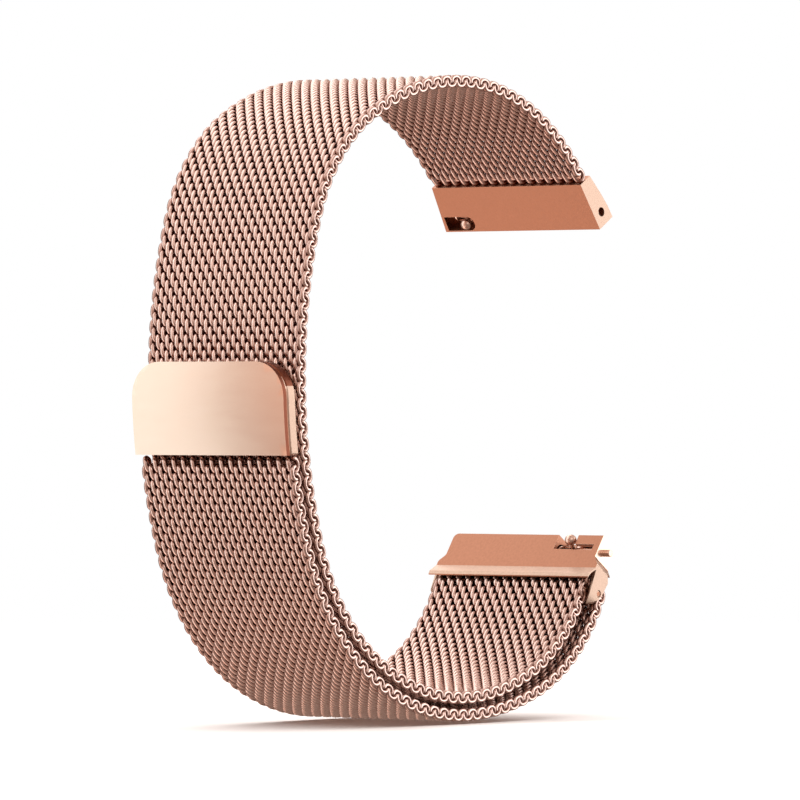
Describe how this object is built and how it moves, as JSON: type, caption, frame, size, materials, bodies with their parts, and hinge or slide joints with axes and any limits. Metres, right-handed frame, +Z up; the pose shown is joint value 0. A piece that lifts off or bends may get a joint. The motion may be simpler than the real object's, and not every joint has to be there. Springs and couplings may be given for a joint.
{
  "type": "mesh loop watch band",
  "caption": "Rose-gold woven steel mesh watch band, closed into a loop, with quick-release spring bar end blocks and a magnetic clasp.",
  "frame": {"origin": "middle of the upper end block's case-side face, which meets the watch case", "axes": "+Y across the strap's width, +Z up, +X from the loop's closed clasp side towards the watch case"},
  "size_m": [0.0556, 0.0215, 0.0671],
  "materials": {
    "woven_mesh": "bright rose-gold plated wire",
    "satin_block": "fine satin rose-gold plating",
    "polished_clasp": "polished rose-gold plating",
    "pin_steel": "turned rose-gold plated steel",
    "magnet": "nickel-plated magnet"
  },
  "bodies": {
    "upper_end": {"upper_end_block": "satin_block", "upper_bar_bush": "pin_steel", "upper_bar_tube": "pin_steel", "upper_bar_fixed_tip": "pin_steel", "upper_bar_spring": "pin_steel", "strap_root": "woven_mesh"},
    "upper_release": {"upper_release_plunger": "pin_steel", "upper_release_knob": "pin_steel"},
    "band_1": {"strap_top_1": "woven_mesh"},
    "band_2": {"strap_top_2": "woven_mesh"},
    "band_3": {"strap_top_3": "woven_mesh"},
    "band_4": {"strap_top_4": "woven_mesh"},
    "band_lower": {"strap_side": "woven_mesh", "strap_lower_left": "woven_mesh", "strap_bottom": "woven_mesh", "strap_lower_right": "woven_mesh", "strap_fold": "woven_mesh"},
    "lower_end": {"lower_end_block": "satin_block", "loop_bar": "satin_block", "lower_bar_tube": "pin_steel", "lower_bar_fixed_tip": "pin_steel", "lower_bar_bush": "pin_steel", "lower_bar_spring": "pin_steel"},
    "lower_release": {"lower_release_plunger": "pin_steel", "lower_release_knob": "pin_steel"},
    "tail_1": {"strap_tail_1": "woven_mesh"},
    "tail_2": {"strap_tail_2": "woven_mesh"},
    "tail_3": {"strap_tail_3": "woven_mesh"},
    "clasp": {"strap_tail_4": "woven_mesh", "clasp_body": "polished_clasp", "clasp_cover": "polished_clasp", "clasp_magnet_1": "magnet", "clasp_magnet_2": "magnet", "clasp_magnet_3": "magnet"}
  },
  "joints": [
    {"name": "band_flex_1", "type": "hinge", "parent": "upper_end", "child": "band_1", "pos_m": [-0.00684, 0, 0.00797], "axis": [0, -1, 0], "range_deg": [-4, 4]},
    {"name": "band_flex_2", "type": "hinge", "parent": "band_1", "child": "band_2", "pos_m": [-0.01935, 0, 0.01387], "axis": [0, -1, 0], "range_deg": [-4, 4]},
    {"name": "band_flex_3", "type": "hinge", "parent": "band_2", "child": "band_3", "pos_m": [-0.03319, 0, 0.01291], "axis": [0, -1, 0], "range_deg": [-4, 4]},
    {"name": "band_flex_4", "type": "hinge", "parent": "band_3", "child": "band_4", "pos_m": [-0.04483, 0, 0.00553], "axis": [0, -1, 0], "range_deg": [-4, 4]},
    {"name": "band_flex_5", "type": "hinge", "parent": "band_4", "child": "band_lower", "pos_m": [-0.04951, 0, -0.00646], "axis": [0, -1, 0], "range_deg": [-4, 4]},
    {"name": "lower_end_pivot", "type": "hinge", "parent": "band_lower", "child": "lower_end", "pos_m": [-0.00178, 0, -0.03925], "axis": [0, -1, 0], "range_deg": [-8, 8]},
    {"name": "clasp_peel_1", "type": "hinge", "parent": "band_lower", "child": "tail_1", "pos_m": [-0.00168, 0, -0.04204], "axis": [0, -1, 0], "range_deg": [0, 12]},
    {"name": "clasp_peel_2", "type": "hinge", "parent": "tail_1", "child": "tail_2", "pos_m": [-0.01685, 0, -0.05077], "axis": [0, -1, 0], "range_deg": [0, 12]},
    {"name": "clasp_peel_3", "type": "hinge", "parent": "tail_2", "child": "tail_3", "pos_m": [-0.03454, 0, -0.04926], "axis": [0, -1, 0], "range_deg": [0, 12]},
    {"name": "clasp_peel_4", "type": "hinge", "parent": "tail_3", "child": "clasp", "pos_m": [-0.04723, 0, -0.03842], "axis": [0, -1, 0], "range_deg": [0, 12]},
    {"name": "upper_release_slide", "type": "slide", "parent": "upper_end", "child": "upper_release", "axis": [0, 1, 0], "range_m": [0, 0.0011]},
    {"name": "lower_release_slide", "type": "slide", "parent": "lower_end", "child": "lower_release", "axis": [0, -1, 0], "range_m": [-0.0011, 0]}
  ],
  "couplings": [
    {"joint": "band_flex_2", "follows": "band_flex_1", "ratio": 1},
    {"joint": "band_flex_3", "follows": "band_flex_1", "ratio": 1},
    {"joint": "band_flex_4", "follows": "band_flex_1", "ratio": 1},
    {"joint": "band_flex_5", "follows": "band_flex_1", "ratio": 1},
    {"joint": "clasp_peel_2", "follows": "clasp_peel_1", "ratio": 1},
    {"joint": "clasp_peel_3", "follows": "clasp_peel_1", "ratio": 1},
    {"joint": "clasp_peel_4", "follows": "clasp_peel_1", "ratio": 1}
  ]
}
